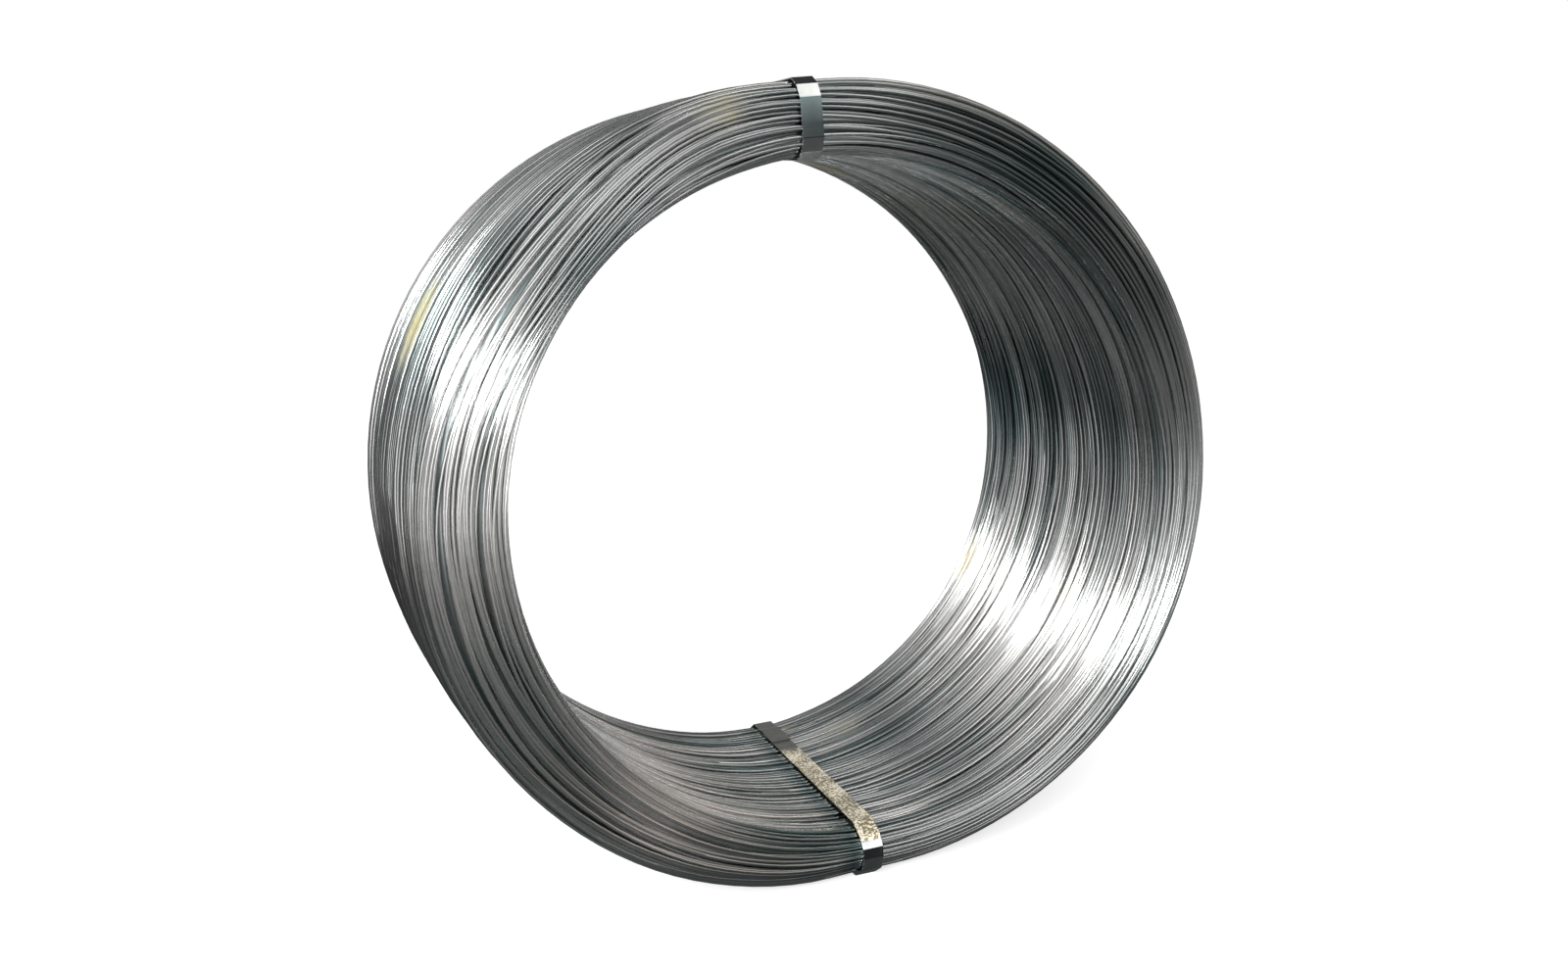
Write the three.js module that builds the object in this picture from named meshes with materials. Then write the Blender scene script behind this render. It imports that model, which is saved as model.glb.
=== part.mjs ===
// Coil of drawn steel wire, tied with two flat steel straps.
// Millimetres, +Z up. The coil stands on its rim: its axis is Y and its front end faces -Y.
import * as THREE from 'three';

// The wire and its bundle of turns, half way between the straps
const wireDiameter = 2.8;
const boreRadius = 254;
const looseWall = 58;           // thickness of the bundle, from the bore to the rim
const looseWidth = 284;         // its width along the axis
const looseBoreEdge = 12;       // rounding of its edges at the bore
const looseRimEdge = 9;         // rounding of its edges at the rim
const rimCrown = 3;             // rise of the rim in the middle of its width

// The same where a strap pulls the turns together
const tiedBoreRadius = 251;
const tiedWall = 49;
const tiedWidth = 272;
const tiedBoreEdge = 20;
const tiedRimEdge = 19;
const fanPower = 0.9;           // how soon the turns fan out beside a strap

// Where the turns have shifted
const boreShiftX = 9;           // the front of the bore lies this far off the rim's axis,
const boreShiftZ = -7;          // and its back as far the other way
const slumpOut = 16;            // how much of the front end has slipped back from the rim
const slumpBack = 28;           // and how far back it has slipped there
const slumpAngle = 330;         // on this side, in degrees from +X through +Z
const turnRelief = 0.45 * wireDiameter;                 // depth of the groove between two turns
const endTurns = Math.round(tiedWall / wireDiameter);   // turns that show on each end
const layRelief = 2 * wireDiameter;                     // depth of the groove between two lays
const sideLays = 9;             // lays of turns that stand out across the bore and across the rim

// The straps
const strapWidth = 16;
const strapThickness = 0.8;
const strapLap = 26;            // length over which the two ends of a strap overlap, in the bore
const lapFromEdge = 14;         // from the last fold at the back to where the upper end climbs
const lapRise = 6;              // length in which it climbs over the lower end
const foldsPerEdge = 3;         // creases of a strap round each edge of the bundle
const clearance = 0.3;          // between touching pieces
const strapAngles = { strap_top: 90, strap_bottom: 270 };

const facets = 60;              // facets round the coil, one of them centred under each strap
const facetAngle = 360 / facets;

const radians = THREE.MathUtils.degToRad;
const mix = THREE.MathUtils.lerp;
const turned = (angle) => THREE.MathUtils.euclideanModulo(angle, 360);

// Degrees between an angle round the coil and the nearest strap.
function fromStrap(angle) {
  const gaps = Object.values(strapAngles).map((strapAngle) => turned(angle - strapAngle));
  return Math.min(...gaps.map((gap) => Math.min(gap, 360 - gap)));
}

// The turns run straight under a strap, so the facet there has the strap's own section.
function heldAngle(angle) {
  const held = Object.values(strapAngles).find(
    (strapAngle) => Math.abs(angle - strapAngle) <= facetAngle / 2);
  return held ?? angle;
}

// Sizes of the bundle's cross-section at an angle: narrow at a strap, fanned out between.
function bundleSection(angle) {
  const at = heldAngle(angle);
  const away = Math.max(0, fromStrap(at) - facetAngle / 2) / (90 - facetAngle / 2);
  const fan = Math.sin(away * Math.PI / 2) ** fanPower;
  const slump = Math.max(0, Math.cos(radians(at - slumpAngle)));
  const boreEdge = mix(tiedBoreEdge, looseBoreEdge, fan);
  const rimEdge = mix(tiedRimEdge, looseRimEdge, fan);
  const bore = mix(tiedBoreRadius, boreRadius, fan);
  return {
    bore,
    rim: bore + mix(tiedWall, looseWall, fan),
    shift: boreShiftX * Math.cos(radians(at)) + boreShiftZ * Math.sin(radians(at)),
    halfWidth: mix(tiedWidth, looseWidth, fan) / 2,
    crown: rimCrown * fan,
    boreEdge: { out: boreEdge, deep: boreEdge },
    backRimEdge: { out: rimEdge, deep: rimEdge },
    frontRimEdge: { out: rimEdge + slumpOut * slump, deep: rimEdge + slumpBack * slump },
  };
}

// Radius of the bore at a place along the axis.
function boreAt(section, y) {
  return section.bore - section.shift * y / section.halfWidth;
}

// How far a rounded edge drops back at a distance from its side.
function edgeDrop(edge, fromSide) {
  const inside = THREE.MathUtils.clamp(1 - fromSide / edge.out, 0, 1);
  return edge.deep * (1 - Math.sqrt(1 - inside ** 2));
}

// One end from the bore to the rim, as [radius, y]: a ridge for each turn and a groove between.
function endRidges(section, side) {
  const rimEdge = side < 0 ? section.frontRimEdge : section.backRimEdge;
  const bore = boreAt(section, side * section.halfWidth);
  const wall = section.rim - bore;
  const points = [];
  for (let step = 0; step <= 2 * endTurns; step++) {
    const fromBore = wall * step / (2 * endTurns);
    const groove = step % 2 === 0 && step > 0 && step < 2 * endTurns ? turnRelief : 0;
    const drop = edgeDrop(section.boreEdge, fromBore) + edgeDrop(rimEdge, wall - fromBore);
    points.push([bore + fromBore, side * (section.halfWidth - drop - groove)]);
  }
  return points;
}

// Points across the bore or the rim, between the two ends: its crown, and a ridge for each lay
// of turns with a groove between, which is cut inward on the rim and outward in the bore.
function sideRidges(from, to, crown, inward) {
  const points = [];
  for (let step = 1; step < 2 * sideLays; step++) {
    const along = step / (2 * sideLays);
    const rise = crown * 4 * along * (1 - along);
    const groove = step % 2 === 0 ? layRelief : 0;
    points.push([mix(from[0], to[0], along) + rise - inward * groove, mix(from[1], to[1], along)]);
  }
  return points;
}

function coilLoop(section) {
  const front = endRidges(section, -1);
  const back = endRidges(section, 1).reverse();
  const rim = sideRidges(front.at(-1), back[0], section.crown, 1);
  const bore = sideRidges(back.at(-1), front[0], 0, -1);
  return [...front, ...rim, ...back, ...bore];
}

// The loops at all angles, joined into one ring.
function coilGeometry() {
  const loops = [];
  for (let facet = 0; facet < facets; facet++) {
    const angle = turned(strapAngles.strap_top + (facet + 0.5) * facetAngle);
    const across = Math.cos(radians(angle));
    const up = Math.sin(radians(angle));
    loops.push(coilLoop(bundleSection(angle)).map(([radius, y]) => [radius * across, y, radius * up]));
  }
  const count = loops[0].length;
  const indices = [];
  for (let facet = 0; facet < facets; facet++) {
    for (let point = 0; point < count; point++) {
      const here = facet * count;
      const next = ((facet + 1) % facets) * count;
      const after = (point + 1) % count;
      indices.push(here + point, here + after, next + point);
      indices.push(next + point, here + after, next + after);
    }
  }
  const geometry = new THREE.BufferGeometry();
  geometry.setAttribute('position', new THREE.Float32BufferAttribute(loops.flat(2), 3));
  geometry.setIndex(indices);
  geometry.computeVertexNormals();
  return geometry;
}

// The flats of a strap drawn tight round the bundle, as [x, y] = [radius, place along the axis].
// Each has the direction that it faces and how far the bundle reaches that way. They run from
// the one after the bore, round the front, the rim and the back, to the one in the bore.
function strapFlats(section) {
  const shrink = Math.cos(radians(facetAngle / 2));
  const bundle = coilLoop(section).map(([radius, y]) => new THREE.Vector2(radius * shrink, y));
  const boreTilt = Math.atan(section.shift / section.halfWidth) * THREE.MathUtils.RAD2DEG;
  const sideFacings = [180 + boreTilt, 270, 360, 450, 540 + boreTilt];
  const flats = [];
  for (let side = 1; side < sideFacings.length; side++) {
    for (let fold = 1; fold <= foldsPerEdge; fold++) {
      const facing = radians(mix(sideFacings[side - 1], sideFacings[side], fold / foldsPerEdge));
      const normal = new THREE.Vector2(Math.cos(facing), Math.sin(facing));
      flats.push({ normal, reach: Math.max(...bundle.map((point) => point.dot(normal))) });
    }
  }
  return flats;
}

// Corner between two neighbouring flats that both stand off the bundle by a lift.
function foldCorner(flat, next, lift) {
  const cross = flat.normal.cross(next.normal);
  const flatReach = flat.reach + lift;
  const nextReach = next.reach + lift;
  return new THREE.Vector2(
    (flatReach * next.normal.y - nextReach * flat.normal.y) / cross,
    (nextReach * flat.normal.x - flatReach * next.normal.x) / cross);
}

// One face of a strap: from its lower end in the bore, once round, to its upper end on top.
function strapFace(flats, lift) {
  const lapped = flats.at(-1);
  const along = new THREE.Vector2(-lapped.normal.y, lapped.normal.x);
  const onLap = (place, raised) => lapped.normal.clone()
    .multiplyScalar(lapped.reach + lift + raised).addScaledVector(along, place);
  const climb = foldCorner(flats.at(-2), lapped, 0).dot(along) + lapFromEdge;
  const lowerEnd = climb + 2 * lapRise;
  const stacked = strapThickness + clearance;
  return [
    onLap(lowerEnd, 0),
    foldCorner(lapped, flats[0], lift),
    ...flats.slice(1).map((flat, index) => foldCorner(flats[index], flat, lift)),
    onLap(climb, 0),
    onLap(climb + lapRise, stacked),
    onLap(lowerEnd + strapLap, stacked),
  ];
}

function strapGeometry(angle) {
  const flats = strapFlats(bundleSection(angle));
  const under = strapFace(flats, clearance);
  const over = strapFace(flats, clearance + strapThickness).reverse();
  const band = new THREE.Shape([...under, ...over]);
  const geometry = new THREE.ExtrudeGeometry(band, { depth: strapWidth, bevelEnabled: false });
  return geometry.translate(0, 0, -strapWidth / 2);
}

const wireSteel = new THREE.MeshStandardMaterial({ color: 0x8b8d8c, roughness: 0.32, metalness: 1 });
const strapSteel = new THREE.MeshStandardMaterial({ color: 0x8f8a78, roughness: 0.45, metalness: 1 });

const model = new THREE.Group();

const coil = new THREE.Mesh(coilGeometry(), wireSteel);
coil.name = 'coil';
model.add(coil);

for (const [name, angle] of Object.entries(strapAngles)) {
  const strap = new THREE.Mesh(strapGeometry(angle), strapSteel);
  strap.name = name;
  strap.rotation.y = -radians(angle);
  model.add(strap);
}

// The coil stands on the floor, with the origin under its middle.
const box = new THREE.Box3().setFromObject(model, true);
const middle = box.getCenter(new THREE.Vector3());
model.position.set(-middle.x, -middle.y, -box.min.z);
model.updateMatrixWorld(true);

export default model;
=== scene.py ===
import bpy
import math
import numpy as np
from mathutils import Matrix, Vector


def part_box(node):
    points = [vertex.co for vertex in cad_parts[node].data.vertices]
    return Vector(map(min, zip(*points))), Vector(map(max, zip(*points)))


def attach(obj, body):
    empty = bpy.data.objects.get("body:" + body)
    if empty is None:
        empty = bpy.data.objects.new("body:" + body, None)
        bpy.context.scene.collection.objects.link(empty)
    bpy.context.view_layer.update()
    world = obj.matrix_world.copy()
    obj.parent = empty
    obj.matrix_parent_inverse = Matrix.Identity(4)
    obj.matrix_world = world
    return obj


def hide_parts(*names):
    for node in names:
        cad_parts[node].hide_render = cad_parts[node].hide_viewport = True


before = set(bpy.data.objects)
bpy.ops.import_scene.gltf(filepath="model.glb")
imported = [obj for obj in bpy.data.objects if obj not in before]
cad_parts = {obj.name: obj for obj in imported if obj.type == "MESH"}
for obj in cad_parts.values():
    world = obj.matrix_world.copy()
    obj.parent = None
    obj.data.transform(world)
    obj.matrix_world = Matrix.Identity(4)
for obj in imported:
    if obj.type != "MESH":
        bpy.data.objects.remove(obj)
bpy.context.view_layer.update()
bpy.ops.object.select_all(action="DESELECT")

# The coil's axis runs along Y through the middle of its solid.
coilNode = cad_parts["coil"]
coilLow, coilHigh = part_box("coil")
axisX = (coilLow.x + coilHigh.x) / 2
axisY = (coilLow.y + coilHigh.y) / 2
axisZ = (coilLow.z + coilHigh.z) / 2
print("frame loaded, coil", [round(v, 4) for v in coilHigh - coilLow])


def setInputs(node, values):
    for name, value in values.items():
        node.inputs[name].default_value = value


def feed(links, socket, value):
    # A socket takes a link from another node, or a fixed value.
    if isinstance(value, bpy.types.NodeSocket):
        links.new(value, socket)
    else:
        socket.default_value = value


def newMaterial(name):
    material = bpy.data.materials.new(name)
    material.use_nodes = True
    nodes = material.node_tree.nodes
    return material, nodes, material.node_tree.links, nodes["Principled BSDF"]


def addMix(nodes, links, factor, first, second):
    mix = nodes.new("ShaderNodeMix")
    mix.data_type = "RGBA"
    for name, value in (("Factor", factor), ("A", first), ("B", second)):
        feed(links, mix.inputs[name], value)
    return mix.outputs["Result"]


def addMath(nodes, links, operation, *values, clamp=False):
    step = nodes.new("ShaderNodeMath")
    step.operation = operation
    step.use_clamp = clamp
    for socket, value in zip(step.inputs, values):
        feed(links, socket, value)
    return step.outputs["Value"]


def addNoise(nodes, links, place, scale, detail, roughness=0.55):
    noise = nodes.new("ShaderNodeTexNoise")
    setInputs(noise, {"Scale": scale, "Detail": detail, "Roughness": roughness})
    links.new(place, noise.inputs["Vector"])
    return noise.outputs["Fac"]


def addRange(nodes, links, value, low, high, toLow=0.0, toHigh=1.0):
    ramp = nodes.new("ShaderNodeMapRange")
    setInputs(ramp, {"From Min": low, "From Max": high, "To Min": toLow, "To Max": toHigh})
    links.new(value, ramp.inputs["Value"])
    return ramp.outputs["Result"]


def addAttribute(nodes, name, output="Fac"):
    attribute = nodes.new("ShaderNodeAttribute")
    attribute.attribute_name = name
    return attribute.outputs[output]


def angleFrom(angle, middle):
    # Degrees from the middle, the shorter way round.
    return (angle - middle + 180) % 360 - 180


# How the coil's own sections are read off its solid.
sectionSettings = {
    "perSide": 48,           # samples on each of the four sides of a section
    "perTurn": 240,          # sections round the coil after smoothing
    "pathPoints": 2000,      # points round one outline, among which its corners are found
    "cornerRounds": 5,       # how often the corners are evened out round the coil
    "sampleRounds": 2,       # and the samples along a section
    "columnReach": 0.3,      # degrees within which points belong to the same section
    "angleDecimals": 1,
    "spotDecimals": 6,
    "straight": 1e-12,       # a bend below this is no corner of an outline
}


def evened(run, axis):
    return (np.roll(run, 1, axis) + 2 * run + np.roll(run, -1, axis)) / 4


def hullOf(points):
    # Convex outline of one section, so that the grooves between turns drop out.
    points = points[np.lexsort((points[:, 1], points[:, 0]))]

    def chain(run):
        kept = []
        for point in run:
            while len(kept) > 1:
                before = kept[-1] - kept[-2]
                after = point - kept[-1]
                if before[0] * after[1] - before[1] * after[0] > sectionSettings["straight"]:
                    break
                kept.pop()
            kept.append(point)
        return kept[:-1]

    return np.array(chain(points) + chain(points[::-1]))


def pathOf(outline):
    # The outline as a closed run of evenly spaced points.
    closed = np.vstack([outline, outline[:1]])
    reached = np.concatenate([[0], np.cumsum(np.hypot(*np.diff(closed, axis=0).T))])
    places = np.linspace(0, reached[-1], sectionSettings["pathPoints"], endpoint=False)
    return np.stack([np.interp(places, reached, closed[:, axis]) for axis in (0, 1)], 1)


def cornersOf(paths):
    # The middles of the four rounded edges, which wander only slowly round the coil.
    ways = np.array([[-1, -1], [1, -1], [1, 1], [-1, 1]])
    corners = np.array([[path[np.argmax(path @ way)] for way in ways] for path in paths])
    for _ in range(sectionSettings["cornerRounds"]):
        corners = evened(corners, 0)
    return corners


def sidesOf(path, corners):
    # Each side runs from one edge to the next: front, rim, back, bore.
    count = len(path)
    marks = np.arange(count)
    starts = [np.argmin(np.linalg.norm(path - corner, axis=1)) for corner in corners]
    if (starts[1] - starts[0]) % count > count / 2:
        raise RuntimeError("the section's outline runs the wrong way")
    sides = []
    for start, end in zip(starts, starts[1:] + starts[:1]):
        run = (end - start) % count
        places = start + run * np.arange(sectionSettings["perSide"]) / sectionSettings["perSide"]
        sides.append(np.stack([np.interp(places, marks, path[:, axis], period=count)
                               for axis in (0, 1)], 1))
    return np.concatenate(sides)


def readSections():
    count = len(coilNode.data.vertices)
    spots = np.zeros(count * 3)
    coilNode.data.vertices.foreach_get("co", spots)
    spots = spots.reshape(-1, 3) - [axisX, axisY, axisZ]
    angles = np.degrees(np.arctan2(spots[:, 2], spots[:, 0])) % 360
    radii = np.hypot(spots[:, 0], spots[:, 2])
    columns = np.unique(np.round(angles, sectionSettings["angleDecimals"]) % 360)
    paths = []
    for column in columns:
        near = np.abs(angleFrom(angles, column)) < sectionSettings["columnReach"]
        points = np.round(np.stack([radii[near], spots[near, 1]], 1), sectionSettings["spotDecimals"])
        paths.append(pathOf(hullOf(np.unique(points, axis=0))))
    sections = [sidesOf(path, corners) for path, corners in zip(paths, cornersOf(paths))]
    return columns, np.array(sections)


def smoothSections():
    # Catmull-Rom between the solid's sections, drawn in to the middle of its flat facets.
    columns, sections = readSections()
    gap = 360 / len(columns)
    sections[:, :, 0] *= math.cos(math.radians(gap / 2))
    for _ in range(sectionSettings["sampleRounds"]):
        sections = evened(sections, 1)
    wanted = np.arange(sectionSettings["perTurn"]) * 360 / sectionSettings["perTurn"]
    along = (wanted - columns[0]) / gap
    index = np.floor(along).astype(int)
    part = (along - index)[:, None, None]
    before, here, after, beyond = (sections[(index + step) % len(columns)] for step in (-1, 0, 1, 2))
    return 0.5 * (2 * here + (after - before) * part
                  + (2 * before - 5 * here + 4 * after - beyond) * part ** 2
                  + (3 * here - before - 3 * after + beyond) * part ** 3)


def lengthOfSide(side):
    # The mean length of one side over the sections round the coil.
    first = side * sectionSettings["perSide"]
    steps = np.diff(sectionTable[:, first:first + sectionSettings["perSide"] + 1], axis=1)
    return float(np.hypot(*steps.reshape(-1, 2).T).sum()) / sectionSettings["perTurn"]


sectionTable = smoothSections()
sideNames = ("front", "rim", "back", "bore")
sideLengths = [lengthOfSide(side) for side in range(len(sideNames))]
girthMarks = np.concatenate([[0], np.cumsum(sideLengths)])
girth = girthMarks[-1]
print("sections read, sides in mm", [round(v * 1000, 1) for v in sideLengths])


def outwardTable():
    ahead = np.roll(sectionTable, -1, 1) - np.roll(sectionTable, 1, 1)
    outward = np.stack([ahead[..., 1], -ahead[..., 0]], -1)
    return outward / np.linalg.norm(outward, axis=-1, keepdims=True)


outwardOfTable = outwardTable()


def sampleTable(table, angle, girthPlace):
    # A value of the table at angles in degrees and places round the girth in metres.
    steps, places = table.shape[:2]
    side = np.interp(girthPlace % girth, girthMarks, np.arange(len(girthMarks))) / len(sideNames) * places
    turn = (angle % 360) / 360 * steps
    row = np.floor(turn).astype(int)
    column = np.floor(side).astype(int)
    rowPart = (turn - row)[:, None]
    columnPart = (side - column)[:, None]

    def at(rowStep, columnStep):
        return table[(row + rowStep) % steps, (column + columnStep) % places]

    return ((at(0, 0) * (1 - columnPart) + at(0, 1) * columnPart) * (1 - rowPart)
            + (at(1, 0) * (1 - columnPart) + at(1, 1) * columnPart) * rowPart)


def coilPoint(angle, girthPlace, depth):
    # A point under the coil's surface, and the way out from it, in the part's own frame.
    spot = sampleTable(sectionTable, angle, girthPlace)
    outward = sampleTable(outwardOfTable, angle, girthPlace)
    outward /= np.linalg.norm(outward, axis=-1, keepdims=True)
    spot = spot - outward * depth[:, None]
    turn = np.radians(angle)
    point = np.stack([axisX + spot[:, 0] * np.cos(turn), axisY + spot[:, 1],
                      axisZ + spot[:, 0] * np.sin(turn)], 1)
    way = np.stack([outward[:, 0] * np.cos(turn), outward[:, 1], outward[:, 0] * np.sin(turn)], 1)
    return point, way


def ringFaces(rings, sides, closed):
    # Quads from each ring of points to the next, and from the last to the first where closed.
    ring = np.arange(rings if closed else rings - 1)[:, None]
    side = np.arange(sides)[None, :]
    nextRing = (ring + 1) % rings
    nextSide = (side + 1) % sides
    corners = [ring * sides + side, ring * sides + nextSide,
               nextRing * sides + nextSide, nextRing * sides + side]
    return np.stack(corners, -1).reshape(-1, 4)


def finishPiece(name, points, faces, material):
    mesh = bpy.data.meshes.new(name)
    mesh.from_pydata(points, [], faces)
    mesh.validate()
    piece = bpy.data.objects.new(name, mesh)
    bpy.context.scene.collection.objects.link(piece)
    mesh.materials.append(material)
    mesh.shade_smooth()
    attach(piece, "root")
    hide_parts("coil")
    return piece


def unroll(piece, left, low, width, height, capCorners=0):
    # The piece's own map: a patch for each quad, and its caps drawn together at one corner.
    left, low = np.broadcast_arrays(left, low)
    right = left + width
    high = low + height
    corners = [np.stack(corner, -1)
               for corner in ((left, low), (right, low), (right, high), (left, high))]
    spots = np.concatenate([np.stack(corners, 2).reshape(-1, 2), np.zeros((capCorners, 2))])
    unrolled = piece.data.uv_layers.new(name="OFBake")
    unrolled.uv.foreach_set("vector", spots.astype(np.float32).ravel())


def setValues(piece, values, copies=1):
    # What the material reads at each point: tone, wear and stain.
    for name, run in values.items():
        data = piece.data.attributes.new(name, "FLOAT", "POINT")
        data.data.foreach_set("value", np.repeat(run, copies).astype(np.float32))


# Drawn steel. The tone of each turn lies between dark and bright, and the stains lie over it.
wireLook = {
    "dark": (0.11, 0.155, 0.158, 1),
    "bright": (0.83, 0.82, 0.81, 1),
    "stain": (0.38, 0.33, 0.13, 1),
    "roughness": (0.17, 0.31),     # of the smoothest turn and of the most worn
    "drawnMarks": 0.9,             # marks of the drawing along a wire, which spread its shine across it
    "cloudNoise": (9.0, 2.0),      # scale and detail of the slow change of tone
    "cloudRange": (0.3, 0.7),
    "cloudChange": 0.12,
    "speckNoise": (260.0, 3.0),    # scale and detail of the specks in a stain
    "speckRange": (0.4, 0.6),
    "speckLeast": 0.6,
    "stainRoughness": 0.4,         # what a full stain adds
    "stainMetal": 0.4,             # how metallic it leaves the wire
}


def wireMaterial():
    material, nodes, links, steel = newMaterial("drawn_wire_steel")
    place = nodes.new("ShaderNodeTexCoord").outputs["Object"]
    cloud = addRange(nodes, links, addNoise(nodes, links, place, *wireLook["cloudNoise"]),
                     *wireLook["cloudRange"], -wireLook["cloudChange"], wireLook["cloudChange"])
    shade = addMath(nodes, links, "ADD", addAttribute(nodes, "tone"), cloud, clamp=True)
    colour = addMix(nodes, links, shade, wireLook["dark"], wireLook["bright"])
    speck = addRange(nodes, links, addNoise(nodes, links, place, *wireLook["speckNoise"]),
                     *wireLook["speckRange"], wireLook["speckLeast"], 1.0)
    stained = addMath(nodes, links, "MULTIPLY", addAttribute(nodes, "stain"), speck, clamp=True)
    colour = addMix(nodes, links, stained, colour, wireLook["stain"])
    links.new(colour, steel.inputs["Base Color"])
    rough = addRange(nodes, links, addAttribute(nodes, "wear"), 0.0, 1.0, *wireLook["roughness"])
    greasy = addMath(nodes, links, "MULTIPLY", stained, wireLook["stainRoughness"])
    links.new(addMath(nodes, links, "ADD", rough, greasy), steel.inputs["Roughness"])
    metal = addRange(nodes, links, stained, 0.0, 1.0, 1.0, wireLook["stainMetal"])
    links.new(metal, steel.inputs["Metallic"])
    steel.inputs["Anisotropic"].default_value = wireLook["drawnMarks"]
    across = nodes.new("ShaderNodeTangent")
    across.direction_type = "UV_MAP"
    across.uv_map = "OFBake"
    links.new(across.outputs["Tangent"], steel.inputs["Tangent"])
    return material


wireSteel = wireMaterial()


# The turns of wire: three layers of them on each side of the coil.
turnSettings = {
    "diameter": 0.0028,
    "radius": 0.28,          # of the coil at its middle turn
    "stepsPerTurn": 120,
    "startAngle": 90,        # under the upper strap
    "seed": 11,
    # for each layer its depth, tone from 0 to 1, sides of the wire, spacing, shift in turns,
    # and how far a wire strays sideways and inward
    "layers": {
        "outer": {"depth": 0.0, "tone": 0.66, "sides": 8, "pitch": 0.0042, "shift": 0.0,
                  "stray": 0.0022, "sink": 0.0020},
        "second": {"depth": 0.0020, "tone": 0.68, "sides": 6, "pitch": 0.0040, "shift": 0.5,
                   "stray": 0.0022, "sink": 0.0018},
        # the third layer's lower tone is painted shade in the gaps between the turns
        "third": {"depth": 0.0042, "tone": 0.60, "sides": 5, "pitch": 0.0044, "shift": 0.2,
                  "stray": 0.0020, "sink": 0.0010},
    },
    "ends": ("front", "back"),
    "endPitch": 0.8,         # the turns lie closer there
    "slotNoise": 0.55,       # how unevenly they are spaced, in turns
    "strayWaves": 5,         # sideways bends in half a turn, and how fast the shorter ones lessen
    "strayPower": 0.8,
    "sinkWaves": 3,          # inward bends in half a turn, and how fast the shorter ones lessen
    "sinkPower": 1,
    "sinkMost": 1.6,         # a turn sinks no more than this many times its layer's sink
    "fanPower": 0.7,         # how soon the turns fan out beside a strap
    "swell": 0.0022,         # how far they stand out between the straps
    "sweep": 0.0045,         # how far neighbouring turns wander together
    "sweepWaves": 6,         # waves in that wander, and the fewest and most bends in one of them
    "sweepBends": (1, 3),
    # how much one turn differs in tone from the next, one group of turns from the next,
    # and how much of this each side shows
    "toneOfTurn": 0.09,
    "toneOfGroup": 0.06,
    "groupSize": 12,         # half turns
    "toneSpread": {"front": 0.4, "rim": 0.8, "back": 1.0, "bore": 2.0},
    # where the turns run aslant: the side, the angle, how far it reaches in degrees,
    # and the slope along the girth
    "slants": [
        ("front", 118, 26, -0.10),
        ("front", 158, 24, 0.05),
        ("rim", 147, 30, 0.03),
        ("bore", 325, 34, 0.035),
    ],
    "slantReach": 1.5,       # how far from a side's middle its slant ends, in half sides
}


def between(values, halves, eased):
    # From the value at one strap to the value at the next.
    return values[halves] * (1 - eased) + values[halves + 1] * eased


def fanAt(angle):
    # Nil under the straps and one half way between them.
    return np.abs(np.sin(np.radians(angle - turnSettings["startAngle"]))) ** turnSettings["fanPower"]


def slantAt(angle, girthPlace):
    total = np.zeros(len(angle))
    for sideName, middle, reach, slope in turnSettings["slants"]:
        side = sideNames.index(sideName)
        half = sideLengths[side] / 2
        across = (girthPlace - girthMarks[side] - half + girth / 2) % girth - girth / 2
        inSide = np.clip(turnSettings["slantReach"] - np.abs(across) / half, 0, 1)
        along = np.radians(angleFrom(angle, middle))
        fade = np.exp(-(along / math.radians(reach)) ** 2)
        total += inSide * slope * turnSettings["radius"] * along * fade
    return total


def sweepField(random):
    # A slow wander shared by neighbouring turns, nothing under the straps.
    least, most = turnSettings["sweepBends"]
    waves = [(random.integers(least, most + 1), random.integers(least, most + 1),
              random.uniform(0, math.tau), random.normal()) for _ in range(turnSettings["sweepWaves"])]

    def sweep(angle, girthPlace):
        total = sum(size * np.sin(upGirth * math.tau * girthPlace / girth + phase
                                  + roundCoil * np.radians(angle))
                    for upGirth, roundCoil, phase, size in waves)
        return total / math.sqrt(len(waves)) * fanAt(angle)

    return sweep


def bends(random, halves, part, waves, power):
    # How far a wire bends away between two straps, by a few waves that are nil at both.
    return sum(random.normal(0, 1, halves[-1] + 1)[halves] / wave ** power
               * np.sin(wave * math.pi * part) for wave in range(1, waves + 1))


def turnTones(random, marks, layer, sideName):
    # The tone of the wire where it passes each strap.
    single = random.normal(0, 1, marks)
    size = turnSettings["groupSize"]
    group = np.convolve(random.normal(0, 1, marks + size - 1), np.ones(size) / math.sqrt(size), "valid")
    change = turnSettings["toneOfTurn"] * single + turnSettings["toneOfGroup"] * group
    return np.clip(layer["tone"] + turnSettings["toneSpread"][sideName] * change, 0, 1)


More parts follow.
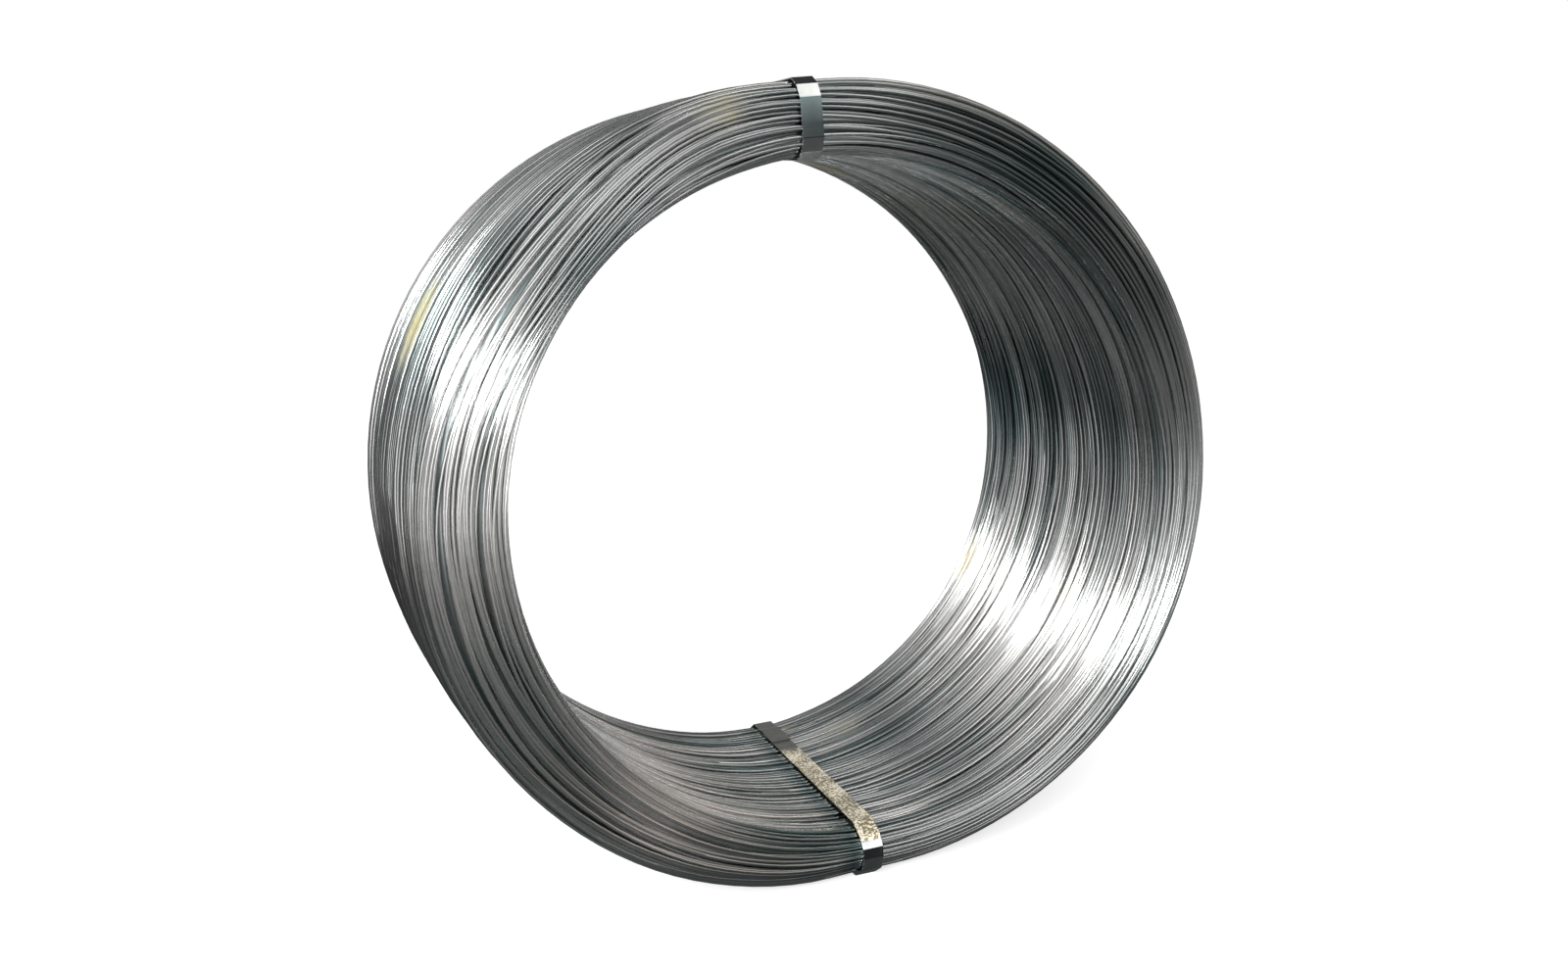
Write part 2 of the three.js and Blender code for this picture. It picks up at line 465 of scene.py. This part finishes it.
def turnPath(side, layer, random, sweep):
    # The wire on one side of the coil, step by step: its angle, its place round the girth, its depth,
    # and its tone and wear.
    pitch = layer["pitch"] * (turnSettings["endPitch"] if sideNames[side] in turnSettings["ends"] else 1)
    turns = max(2, round(sideLengths[side] / pitch))
    marks = 2 * turns + 1
    along = np.arange(turns * turnSettings["stepsPerTurn"] + 1) / turnSettings["stepsPerTurn"]
    halves = np.minimum((along * 2).astype(int), 2 * turns - 1)
    part = along * 2 - halves
    eased = part * part * (3 - 2 * part)
    slots = np.arange(marks) / 2 + layer["shift"] + random.normal(0, turnSettings["slotNoise"], marks)
    stray = bends(random, halves, part, turnSettings["strayWaves"], turnSettings["strayPower"])
    sink = bends(random, halves, part, turnSettings["sinkWaves"], turnSettings["sinkPower"])
    angle = turnSettings["startAngle"] + 360 * along
    girthPlace = girthMarks[side] + between(slots, halves, eased) * sideLengths[side] / turns
    girthPlace = girthPlace + slantAt(angle, girthPlace)
    girthPlace = girthPlace + stray * layer["stray"] + sweep(angle, girthPlace) * turnSettings["sweep"]
    lift = between(random.uniform(0, 1, marks), halves, eased)
    lower = np.clip((np.abs(sink) + lift) / 2, 0, turnSettings["sinkMost"])
    depth = layer["depth"] + turnSettings["diameter"] / 2 + layer["sink"] * lower
    depth = depth - turnSettings["swell"] * fanAt(angle)
    tone = between(turnTones(random, marks, layer, sideNames[side]), halves, eased)
    # painted shade and painted highlight added to the tone
    tone = np.clip(tone + paintedLightAndShadeAt(angle, girthPlace, side), 0, 1)
    wear = between(random.uniform(0, 1, marks), halves, eased)
    return angle, girthPlace, depth, {"tone": tone, "wear": wear}


# What years in the store have done to the wire, and the light and shade painted into its tone.
wearAndPaintedLightSettings = {
    # painted light and shade, where the steel's tone is made darker as painted shade or brighter as a
    # painted highlight: the side, the angle, the place across the side from 0 to 1, how far it reaches in
    # degrees and across the side, and the change of tone
    "paintedLightAndShade": [
        ("front", 48, 0.9, 9, 0.6, -0.25),
        ("front", 65, 0.3, 30, 0.6, -0.30),
        ("front", 45, 0.9, 45, 0.6, -0.35),
        ("front", 38, 0.0, 35, 0.5, -0.35),
        ("front", 95, 1.0, 12, 0.6, -0.25),
        ("front", 112, 0.5, 15, 0.6, 0.15),
        ("front", 134, 0.0, 16, 0.5, -0.45),
        ("front", 138, 0.6, 12, 0.6, 0.20),
        ("front", 180, 0.5, 24, 0.6, 0.35),
        ("front", 214, 0.5, 14, 0.6, -0.15),
        ("front", 230, 0.3, 9, 0.6, 0.40),
        ("front", 258, 0.6, 18, 0.6, -0.30),
        ("front", 260, 0.0, 18, 0.35, -0.45),
        ("front", 320, 1.0, 14, 0.6, -0.35),
        ("rim", 30, 0.0, 70, 0.35, -0.40),
        ("rim", 330, 0.0, 30, 0.35, -0.40),
        ("rim", 155, 0.3, 20, 0.6, -0.50),
        ("rim", 184, 0.1, 20, 0.6, 0.35),
        ("bore", 45, 0.95, 30, 0.25, -0.35),
        ("bore", 5, 0.15, 20, 0.6, -0.50),
        ("bore", 3, 0.5, 10, 0.6, -0.20),
        ("bore", 314, 0.3, 18, 0.6, 0.45),
        ("bore", 290, 0.5, 16, 0.6, -0.35),
        ("bore", 262, 0.4, 16, 0.6, -0.30),
        ("bore", 234, 0.8, 10, 0.5, 0.50),
        ("bore", 250, 1.0, 22, 0.06, -0.50),
        ("back", 45, 0.5, 55, 0.6, -0.25),
        ("back", 190, 0.5, 45, 0.6, 0.15),
    ],
    # old oil marks: where each one lies, how far it reaches, and how strong it is
    "stains": [
        ((-0.275, -0.006, 0.451), 0.044, 1.0),
        ((-0.063, -0.136, 0.584), 0.020, 0.6),
        ((0.094, 0.090, 0.537), 0.028, 0.9),
        ((0.208, 0.121, 0.176), 0.024, 0.9),
        ((0.223, -0.040, 0.173), 0.016, 0.7),
        ((0.056, 0.065, 0.061), 0.020, 0.4),
        ((0.004, 0.101, 0.056), 0.018, 0.6),
    ],
    "stainSlope": 1.6,       # how sharply a stain ends
    "stainLeast": 0.4,       # what the turn that takes up least has of it
    # painted shade: the dark line along one side of the lower strap, in the eye
    "strapShade": {"aside": -0.0135, "reach": 0.006, "top": 0.07, "slope": 100, "strength": 0.85},
}


# Painted light and shade: how much darker or brighter a turn's tone is made at each point.
def paintedLightAndShadeAt(angle, girthPlace, side):
    across = (girthPlace - girthMarks[side]) / sideLengths[side]
    total = np.zeros(len(angle))
    for sideName, middle, middleAcross, reach, reachAcross, change in wearAndPaintedLightSettings["paintedLightAndShade"]:
        if sideName == sideNames[side]:
            away = np.hypot(angleFrom(angle, middle) / reach, (across - middleAcross) / reachAcross)
            total += change * np.exp(-away ** 2)
    return total


def stainAt(points, random, wires):
    # Each turn takes up a stain more or less than its neighbour.
    amount = np.zeros(len(points))
    for middle, reach, strength in wearAndPaintedLightSettings["stains"]:
        away = np.linalg.norm(points - np.array(middle), axis=1) / reach
        amount = np.maximum(amount, strength * np.clip(wearAndPaintedLightSettings["stainSlope"] * (1 - away), 0, 1))
    return amount * random.uniform(wearAndPaintedLightSettings["stainLeast"], 1, wires.max() + 1)[wires]


# Painted shade beside the lower strap: how much it darkens a turn's tone.
def strapShadeAt(points):
    strapShade = wearAndPaintedLightSettings["strapShade"]
    away = (points[:, 0] - axisX - strapShade["aside"]) / strapShade["reach"]
    inEye = np.clip((strapShade["top"] - points[:, 2]) * strapShade["slope"], 0, 1)
    return strapShade["strength"] * np.exp(-away ** 2) * inEye


def unitRows(rows):
    return rows / np.linalg.norm(rows, axis=1, keepdims=True)


def wireRings(centre, outward, radius, sides):
    # Rings of points round the wire's middle line, the first point of each facing outward.
    ahead = unitRows(np.gradient(centre, axis=0))
    outward = unitRows(outward - ahead * (outward * ahead).sum(1, keepdims=True))
    across = np.cross(ahead, outward)
    turn = np.arange(sides) * math.tau / sides
    return centre[:, None, :] + radius * (np.cos(turn)[None, :, None] * outward[:, None, :]
                                          + np.sin(turn)[None, :, None] * across[:, None, :])


def windWire(name, side, layer, random, sweep):
    angle, girthPlace, depth, values = turnPath(side, layer, random, sweep)
    centre, outward = coilPoint(angle, girthPlace, depth)
    radius = turnSettings["diameter"] / 2
    centre = np.clip(centre, np.array(coilLow) + radius, np.array(coilHigh) - radius)
    count = len(centre)
    steps = turnSettings["stepsPerTurn"]
    sides = layer["sides"]
    values["stain"] = stainAt(centre, random, np.arange(count) // steps)
    # painted shade beside the lower strap
    values["tone"] = values["tone"] * (1 - strapShadeAt(centre))
    rings = wireRings(centre, outward, radius, sides)
    caps = [list(range(sides))[::-1], list(range((count - 1) * sides, count * sides))]
    piece = finishPiece(name, rings.reshape(-1, 3).tolist(),
                        ringFaces(count, sides, False).tolist() + caps, wireSteel)
    setValues(piece, values, sides)
    # Each turn is a strip of its own, as long as the map is high.
    strip, step = np.divmod(np.arange(count - 1), steps)
    turns = strip[-1] + 1
    unroll(piece, (strip[:, None] + np.arange(sides) / sides) / turns, step[:, None] / steps,
           1 / sides / turns, 1 / steps, 2 * sides)
    return piece


random = np.random.default_rng(turnSettings["seed"])
for layerName, layer in turnSettings["layers"].items():
    sweep = sweepField(random)
    for side, sideName in enumerate(sideNames):
        piece = windWire(f"{sideName}_turns_{layerName}", side, layer, random, sweep)
        print(piece.name, len(piece.data.polygons), "faces")


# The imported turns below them, as one skin with a ridge for each.
packedSettings = {
    "depth": 0.0060,
    "pitch": 0.0036,
    "pointsPerTurn": 3,
    "steps": 120,
    "relief": 0.0012,        # depth of the groove between two turns
    # the packed turns' dark tone is painted shade in the gaps between the turns above
    "tone": (0.2, 0.5),      # of the darkest turn and of the brightest
    "wear": (0.3, 1),
    "seed": 12,
}


def packedTurns():
    ridges = round(girth / packedSettings["pitch"])
    perTurn = packedSettings["pointsPerTurn"]
    count = ridges * perTurn
    steps = packedSettings["steps"]
    places = np.arange(count) / count * girth
    phase = np.arange(count) % perTurn / perTurn
    depths = packedSettings["depth"] + packedSettings["relief"] * np.abs(np.cos(math.pi * phase))
    rings = [coilPoint(np.full(count, 360 * step / steps), places, depths)[0] for step in range(steps)]
    piece = finishPiece("packed_turns", np.concatenate(rings).tolist(),
                        ringFaces(steps, count, True).tolist(), wireSteel)
    unroll(piece, np.arange(count)[None, :] / count, np.arange(steps)[:, None] / steps,
           1 / count, 1 / steps)
    random = np.random.default_rng(packedSettings["seed"])
    tone, wear = (np.tile(np.repeat(random.uniform(*packedSettings[name], ridges), perTurn), steps)
                  for name in ("tone", "wear"))
    setValues(piece, {"tone": tone, "wear": wear, "stain": np.zeros(len(tone))})
    return piece


packed = packedTurns()
print(packed.name, len(packed.data.polygons), "faces")


# The straps keep the solids' own shapes. Only their steel is made here.
strapLook = {
    "metal": (0.52, 0.55, 0.55, 1),
    "rubbed": 0.85,                # how bright its rubbed patches are beside the rest
    "patchNoise": (55.0, 2.0),     # scale and detail of these patches
    "patchRange": (0.35, 0.65),
    "roughness": (0.12, 0.26),
    "cloudNoise": (120.0, 4.0),    # scale and detail of its change
    "cloudRange": (0.3, 0.7),
    # the flat across the front end, up to this place along the axis, is painted darker: painted shade
    "frontFrom": -0.1365,
    "frontFade": 0.0004,
    # the upper strap turns lighter between two heights, a painted highlight; the lower one is near black
    "frontShadedMetal": ((0.13, 0.155, 0.155, 1), (0.36, 0.44, 0.44, 1)),
    "frontHighlightHeights": (0.568, 0.585),
    "lowerFrontShadedMetal": (0.09, 0.12, 0.12, 1),
    # the lower strap's oxide is on the flat in the eye, above this height
    "oxideBase": 0.0335,
    "oxideFade": 0.002,
    "oxide": (0.98, 0.90, 0.72, 1),
    "darkOxide": (0.24, 0.20, 0.12, 1),
    "oxideMetal": 0.35,
    "oxideRoughness": 0.2,         # what it adds
    "speckNoise": (560.0, 2.0),
    "speckShare": 0.85,            # of the specks in its mottling, beside the patches
    "speckRange": (0.45, 0.54),
    # and its part towards the back is coloured dark
    "rearDarkColour": (0.10, 0.10, 0.095, 1),
    "rearDarkFrom": 0.042,
    "rearDarkFade": 0.008,
}


def addOxide(nodes, links, place, apart, patch):
    # The lower strap's colour in the eye, and how far it has replaced the plain metal.
    speck = addMath(nodes, links, "MULTIPLY", addNoise(nodes, links, place, *strapLook["speckNoise"]),
                    strapLook["speckShare"])
    mottle = addMath(nodes, links, "MULTIPLY_ADD", patch, 1 - strapLook["speckShare"], speck)
    mottle = addRange(nodes, links, mottle, *strapLook["speckRange"])
    oxide = addMix(nodes, links, mottle, strapLook["darkOxide"], strapLook["oxide"])
    rearDarkMask = addRange(nodes, links, apart["Y"], strapLook["rearDarkFrom"],
                    strapLook["rearDarkFrom"] + strapLook["rearDarkFade"])
    oxide = addMix(nodes, links, rearDarkMask, oxide, strapLook["rearDarkColour"])
    inEye = addRange(nodes, links, apart["Z"], strapLook["oxideBase"],
                     strapLook["oxideBase"] + strapLook["oxideFade"])
    return oxide, inEye


def strapMaterial(name, oxidised):
    material, nodes, links, steel = newMaterial(name)
    place = nodes.new("ShaderNodeTexCoord").outputs["Object"]
    split = nodes.new("ShaderNodeSeparateXYZ")
    links.new(place, split.inputs["Vector"])
    apart = split.outputs
    rough = addRange(nodes, links, addNoise(nodes, links, place, *strapLook["cloudNoise"]),
                     *strapLook["cloudRange"], *strapLook["roughness"])
    patch = addRange(nodes, links, addNoise(nodes, links, place, *strapLook["patchNoise"]),
                     *strapLook["patchRange"])
    rubbed = tuple(strapLook["rubbed"] * v for v in strapLook["metal"][:3]) + (1,)
    colour = addMix(nodes, links, patch, strapLook["metal"], rubbed)
    # The flat across the front end: painted shade, and on the upper strap a painted highlight by height.
    if oxidised:
        front = strapLook["lowerFrontShadedMetal"]
    else:
        height = addRange(nodes, links, apart["Z"], *strapLook["frontHighlightHeights"])
        front = addMix(nodes, links, height, *strapLook["frontShadedMetal"])
    behind = addRange(nodes, links, apart["Y"], strapLook["frontFrom"] - strapLook["frontFade"],
                      strapLook["frontFrom"])
    colour = addMix(nodes, links, behind, front, colour)
    metal = 1.0
    if oxidised:
        oxide, inEye = addOxide(nodes, links, place, apart, patch)
        colour = addMix(nodes, links, inEye, colour, oxide)
        metal = addRange(nodes, links, inEye, 0.0, 1.0, 1.0, strapLook["oxideMetal"])
        dull = addMath(nodes, links, "MULTIPLY", inEye, strapLook["oxideRoughness"])
        rough = addMath(nodes, links, "ADD", rough, dull)
    links.new(colour, steel.inputs["Base Color"])
    links.new(rough, steel.inputs["Roughness"])
    feed(links, steel.inputs["Metallic"], metal)
    return material


for name, oxidised in (("strap_top", False), ("strap_bottom", True)):
    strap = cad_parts[name]
    strap.data.materials.clear()
    strap.data.materials.append(strapMaterial(name + "_steel", oxidised))
print("straps finished")


cameraSettings = {
    "azimuth": -18.29,
    "elevation": 9.74,
    "roll": -5.10,
    "distance": 1.4068,
    "aside": -0.00111,       # how far the coil's middle sits to the right of the view's,
    "below": -0.00997,       # and how far below it
    "lens": 40.25,
    "sensor": 36.0,
    "near": 0.05,
    "far": 100,
}


def placeCamera():
    azimuth, elevation, roll = (math.radians(cameraSettings[name])
                                for name in ("azimuth", "elevation", "roll"))
    back = Vector((math.sin(azimuth) * math.cos(elevation), -math.cos(azimuth) * math.cos(elevation),
                   math.sin(elevation)))
    level = (-back).cross(Vector((0, 0, 1))).normalized()
    upright = level.cross(-back)
    right = level * math.cos(roll) + upright * math.sin(roll)
    up = upright * math.cos(roll) - level * math.sin(roll)
    spot = (Vector((axisX, axisY, axisZ)) - right * cameraSettings["aside"]
            + up * cameraSettings["below"] + back * cameraSettings["distance"])
    bpy.ops.object.camera_add()
    camera = bpy.context.object
    camera.matrix_world = Matrix.Translation(spot) @ Matrix((right, up, back)).transposed().to_4x4()
    camera.data.lens = cameraSettings["lens"]
    camera.data.sensor_width = cameraSettings["sensor"]
    camera.data.clip_start = cameraSettings["near"]
    camera.data.clip_end = cameraSettings["far"]
    bpy.context.scene.camera = camera


placeCamera()
print("camera placed")


studio = {
    "floorSize": 60.0,
    "floorColour": (0.8, 0.8, 0.8, 1),
    "floorRoughness": 0.9,
    "floorGlow": 0.62,       # brings the lit floor up to white where it is seen
    "worldDiffuse": 0.55,    # how bright the world is for what it lights, and not for what sees it
    # lamps: where they stand, the way their long side lies, long and short sides, power and colour
    "lamps": {
        "key": {"place": (-1.28, -2.15, 1.04), "along": (-0.85, 0.0, 0.53), "long": 1.2, "short": 0.46,
                "power": 72, "colour": (1.0, 1.0, 0.995)},
        "overhead": {"place": (0.75, -1.3, 2.6), "along": (1.0, 0.0, 0.0), "long": 1.4, "short": 0.9,
                     "power": 7, "colour": (1.0, 0.97, 0.94)},
    },
    # the room that only the metal mirrors, and the soft lights on its walls, ceiling and floor:
    # where each one is, how far it reaches, and how bright it is
    "room": {"low": (-3.2, -3.2, 0.001), "high": (3.2, 3.0, 3.2), "cell": 0.2, "dim": 0.025},
    "glows": [
        ((-0.6, -3.2, 1.3), 0.6, (2.0, 2.0, 2.0)),
        ((-1.6, -3.2, 0.4), 0.6, (2.2, 2.2, 2.2)),
        ((-2.6, -3.2, 0.4), 0.6, (0.4, 0.4, 0.4)),
        ((0.4, -3.2, 1.3), 0.6, (1.2, 1.22, 1.24)),
        ((-0.6, -3.2, 2.4), 0.6, (0.9, 0.9, 0.9)),
        ((-1.6, -3.2, 2.4), 0.6, (0.8, 0.79, 0.78)),
        ((1.3, -3.2, 2.4), 0.3, (4.5, 4.5, 4.5)),
        ((2.4, -3.2, 1.3), 0.6, (0.7, 0.65, 0.62)),
        ((-1.2, -2.2, 0.0), 0.6, (0.9, 0.9, 0.9)),
        ((-0.4, -2.2, 0.0), 0.6, (0.25, 0.25, 0.25)),
        ((1.2, -0.9, 0.0), 0.6, (0.45, 0.45, 0.45)),
        ((-0.45, -0.4, 0.0), 0.22, (0.12, 0.15, 0.145)),
        ((2.5, -2.0, 3.2), 0.8, (1.45, 1.28, 1.18)),
        ((-0.5, -2.0, 3.2), 0.8, (0.32, 0.33, 0.34)),
        ((-3.2, -2.0, 0.5), 0.8, (0.4, 0.4, 0.4)),
        ((3.2, -0.8, 0.5), 0.8, (0.28, 0.25, 0.23)),
        ((1.5, 1.5, 0.0), 0.7, (1.3, 1.3, 1.3)),
        ((3.2, -2.0, 1.9), 0.8, (0.42, 0.34, 0.29)),
        ((-2.0, 3.0, 2.2), 0.8, (1.7, 1.68, 1.65)),
        ((0.0, 3.0, 2.2), 0.8, (0.7, 0.7, 0.7)),
        ((1.6, 3.0, 0.8), 0.8, (0.6, 0.6, 0.6)),
        ((3.2, 1.2, 0.6), 0.8, (0.8, 0.8, 0.8)),
        ((3.2, 0.8, 2.0), 0.8, (0.8, 0.8, 0.8)),
        ((2.4, 0.6, 0.0), 0.6, (0.7, 0.7, 0.7)),
        ((-1.0, 2.6, 0.0), 0.6, (0.5, 0.5, 0.5)),
    ],
}


def seenDirectly(nodes, links):
    rays = nodes.new("ShaderNodeLightPath")
    seen = addMath(nodes, links, "MAXIMUM", rays.outputs["Is Camera Ray"], rays.outputs["Is Glossy Ray"])
    return addMath(nodes, links, "MAXIMUM", seen, rays.outputs["Is Transmission Ray"])


def makeFloor():
    bpy.ops.mesh.primitive_plane_add(size=studio["floorSize"])
    floor = bpy.context.object
    floor.name = "studio_floor"
    material, nodes, links, surface = newMaterial("studio_floor")
    setInputs(surface, {"Base Color": studio["floorColour"], "Roughness": studio["floorRoughness"],
                        "Specular IOR Level": 0.0, "Emission Color": (1, 1, 1, 1)})
    glow = addMath(nodes, links, "MULTIPLY", seenDirectly(nodes, links), studio["floorGlow"])
    links.new(glow, surface.inputs["Emission Strength"])
    floor.data.materials.append(material)


def makeWorld():
    world = bpy.data.worlds.new("studio")
    bpy.context.scene.world = world
    world.use_nodes = True
    nodes = world.node_tree.nodes
    links = world.node_tree.links
    background = nodes["Background"]
    dim = (studio["worldDiffuse"],) * 3 + (1,)
    white = (1, 1, 1, 1)
    links.new(addMix(nodes, links, seenDirectly(nodes, links), dim, white), background.inputs["Color"])
    background.inputs["Strength"].default_value = 1.0


def addLamp(name, lamp):
    bpy.ops.object.light_add(type="AREA", location=lamp["place"])
    light = bpy.context.object
    light.name = name + "_light"
    light.data.shape = "RECTANGLE"
    light.data.size = lamp["long"]
    light.data.size_y = lamp["short"]
    light.data.energy = lamp["power"]
    light.data.color = lamp["colour"]
    away = (light.location - Vector((axisX, axisY, axisZ))).normalized()
    along = Vector(lamp["along"])
    along = (along - away * along.dot(away)).normalized()
    turned = Matrix((along, away.cross(along), away)).transposed()
    light.rotation_euler = turned.to_euler()
    light.visible_camera = False


def roomSheet(facing, place, alongFirst, alongSecond):
    # One wall, the ceiling or the floor, as a grid of points and the quads between them.
    first, second = np.meshgrid(alongFirst, alongSecond, indexing="ij")
    points = np.insert(np.stack([first, second], -1), facing, place, axis=2).reshape(-1, 3)
    wide = len(alongSecond)
    here = (np.arange(len(alongFirst) - 1)[:, None] * wide + np.arange(wide - 1)[None, :]).ravel()
    return points, np.stack([here, here + 1, here + wide + 1, here + wide], 1)


def roomMesh():
    room = studio["room"]
    lines = [np.linspace(low, high, round((high - low) / room["cell"]) + 1)
             for low, high in zip(room["low"], room["high"])]
    points = []
    faces = []
    count = 0
    for facing in range(3):
        others = [lines[axis] for axis in range(3) if axis != facing]
        for place in (room["low"][facing], room["high"][facing]):
            spots, quads = roomSheet(facing, place, *others)
            points.append(spots)
            faces.append(quads + count)
            count += len(spots)
    return np.concatenate(points), np.concatenate(faces)


def glowAt(points):
    tone = np.full((len(points), 3), studio["room"]["dim"])
    for middle, reach, brightness in studio["glows"]:
        away = np.linalg.norm(points - np.array(middle), axis=1) / reach
        tone += np.exp(-away ** 2 / 2)[:, None] * np.array(brightness)
    return np.append(tone, np.ones((len(tone), 1)), 1)


def makeRoom():
    points, faces = roomMesh()
    mesh = bpy.data.meshes.new("mirrored_room")
    mesh.from_pydata(points.tolist(), [], faces.tolist())
    sheet = bpy.data.objects.new("mirrored_room", mesh)
    bpy.context.scene.collection.objects.link(sheet)
    colours = mesh.attributes.new("glow", "FLOAT_COLOR", "POINT")
    colours.data.foreach_set("color", glowAt(points).astype(np.float32).ravel())
    material, nodes, links, surface = newMaterial("mirrored_room")
    setInputs(surface, {"Base Color": (0, 0, 0, 1), "Specular IOR Level": 0.0, "Emission Strength": 1.0})
    links.new(addAttribute(nodes, "glow", "Color"), surface.inputs["Emission Color"])
    mesh.materials.append(material)
    sheet.visible_camera = False
    sheet.visible_diffuse = False
    sheet.visible_shadow = False
    sheet.visible_transmission = False


makeFloor()
makeWorld()
for name, lamp in studio["lamps"].items():
    addLamp(name, lamp)
makeRoom()
bpy.context.scene.view_settings.view_transform = "Standard"
print("studio ready")
